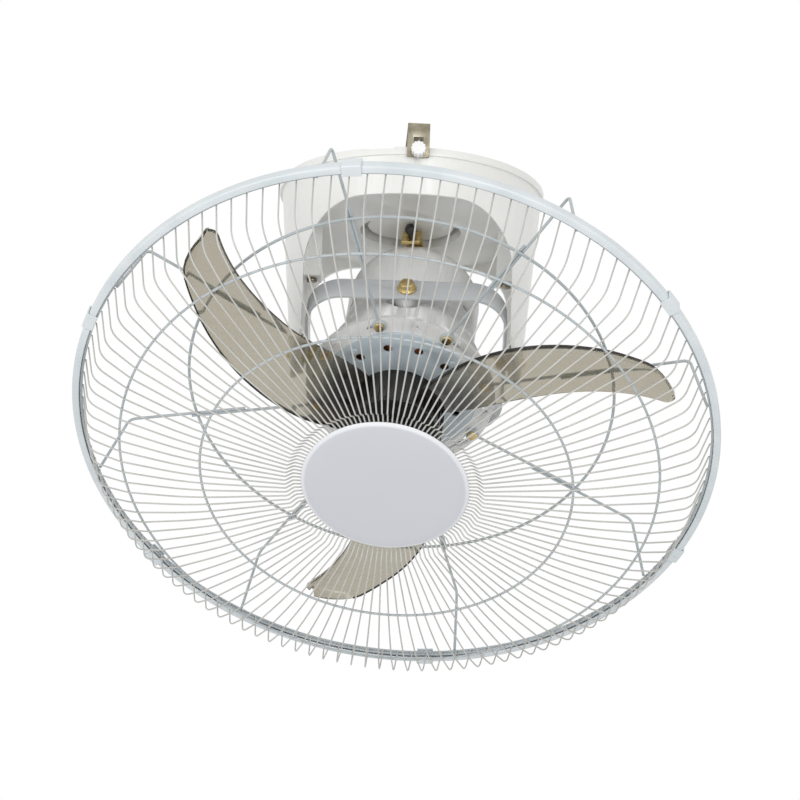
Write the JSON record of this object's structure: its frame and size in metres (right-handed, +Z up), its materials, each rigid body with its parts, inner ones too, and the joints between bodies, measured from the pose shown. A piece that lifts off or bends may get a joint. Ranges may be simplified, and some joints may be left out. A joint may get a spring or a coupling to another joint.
{
  "type": "orbital ceiling fan",
  "caption": "Ceiling fan whose caged head leans in a gimbal ring under a round canopy, with tinted blades and a wire guard.",
  "frame": {"origin": "centre of the cable hole at the top face of the ceiling strap, which lies against the ceiling", "axes": "+Z up to the ceiling, +X along the gimbal ring's leg pivots, -Y the side the head leans to at rest"},
  "size_m": [0.4645, 0.3855, 0.3754],
  "materials": {
    "white_plastic": "semi gloss",
    "white_paint": "gloss enamel",
    "guard_paint": "gloss epoxy coat",
    "steel": "plated",
    "zinc": "yellow zinc",
    "brass": "plated",
    "smoke": "smoke tinted, clear",
    "dark_plastic": "matte",
    "cap_plastic": "semi gloss",
    "gear_plastic": "matte",
    "copper": "enamelled wire",
    "wire_cover": "pvc"
  },
  "bodies": {
    "canopy": {"ceiling_strap": "zinc", "thumb_screws": "white_plastic", "canopy": "white_plastic", "terminal_block": "white_plastic", "capacitor": "dark_plastic", "lead_wires": "wire_cover", "leg_bushes": "brass", "leg_screws": "brass", "orbit_socket": "dark_plastic"},
    "ring": {"gimbal_ring": "guard_paint", "leg_pivot_bolts": "brass", "leg_pivot_nuts": "brass", "ring_bushes": "brass"},
    "head": {"motor_pivot_bolts": "brass", "motor_can": "white_paint", "front_plate": "guard_paint", "rear_housing": "white_plastic", "housing_screws": "brass", "stator_core": "steel", "stator_windings": "copper", "front_bearing": "steel", "rear_bearing": "steel", "gear_plate": "steel", "idler_spindle": "steel", "front_guard_wires": "guard_paint", "front_guard_rings": "guard_paint", "guard_rim": "guard_paint", "rim_clips": "guard_paint", "rear_guard_spokes": "guard_paint", "rear_guard_ring": "guard_paint", "spoke_screws": "brass", "centre_cap": "cap_plastic", "cap_backplate": "cap_plastic"},
    "rotor": {"rotor_core": "steel", "shaft": "steel", "worm": "brass", "fan_blades": "smoke", "spinner_nut": "dark_plastic"},
    "wheel": {"worm_wheel": "gear_plastic", "cross_shaft": "steel"},
    "idler": {"idler_gear": "gear_plastic"},
    "crank": {"crank_gear": "gear_plastic", "crank_shaft": "steel", "crank_arm": "zinc", "crank_ball": "dark_plastic"}
  },
  "joints": [
    {"name": "ring_tilt", "type": "hinge", "parent": "canopy", "child": "ring", "pos_m": [0, 0, -0.1472], "axis": [1, 0, 0], "range_deg": [0, 73.4]},
    {"name": "head_tilt", "type": "hinge", "parent": "ring", "child": "head", "pos_m": [0, 0, -0.1472], "axis": [0, 0.8018, -0.5976], "range_deg": [-15.7, 8.3]},
    {"name": "rotor_spin", "type": "hinge", "parent": "head", "child": "rotor", "pos_m": [0, 0, -0.1472], "axis": [0.0645, 0.5964, 0.8001], "continuous": true},
    {"name": "worm_turn", "type": "hinge", "parent": "head", "child": "wheel", "pos_m": [0.00336, 0.04448, -0.11563], "axis": [0.9979, -0.0386, -0.0517], "continuous": true},
    {"name": "idler_turn", "type": "hinge", "parent": "head", "child": "idler", "pos_m": [0.01932, 0.05453, -0.12441], "axis": [0.0645, 0.5964, 0.8001], "continuous": true},
    {"name": "crank_turn", "type": "hinge", "parent": "head", "child": "crank", "pos_m": [0.00432, 0.03996, -0.09359], "axis": [0.0645, 0.5964, 0.8001], "continuous": true}
  ],
  "couplings": [
    {"joint": "worm_turn", "follows": "rotor_spin", "ratio": 0.083333},
    {"joint": "idler_turn", "follows": "rotor_spin", "ratio": 0.016667},
    {"joint": "crank_turn", "follows": "rotor_spin", "ratio": -0.0033333}
  ]
}
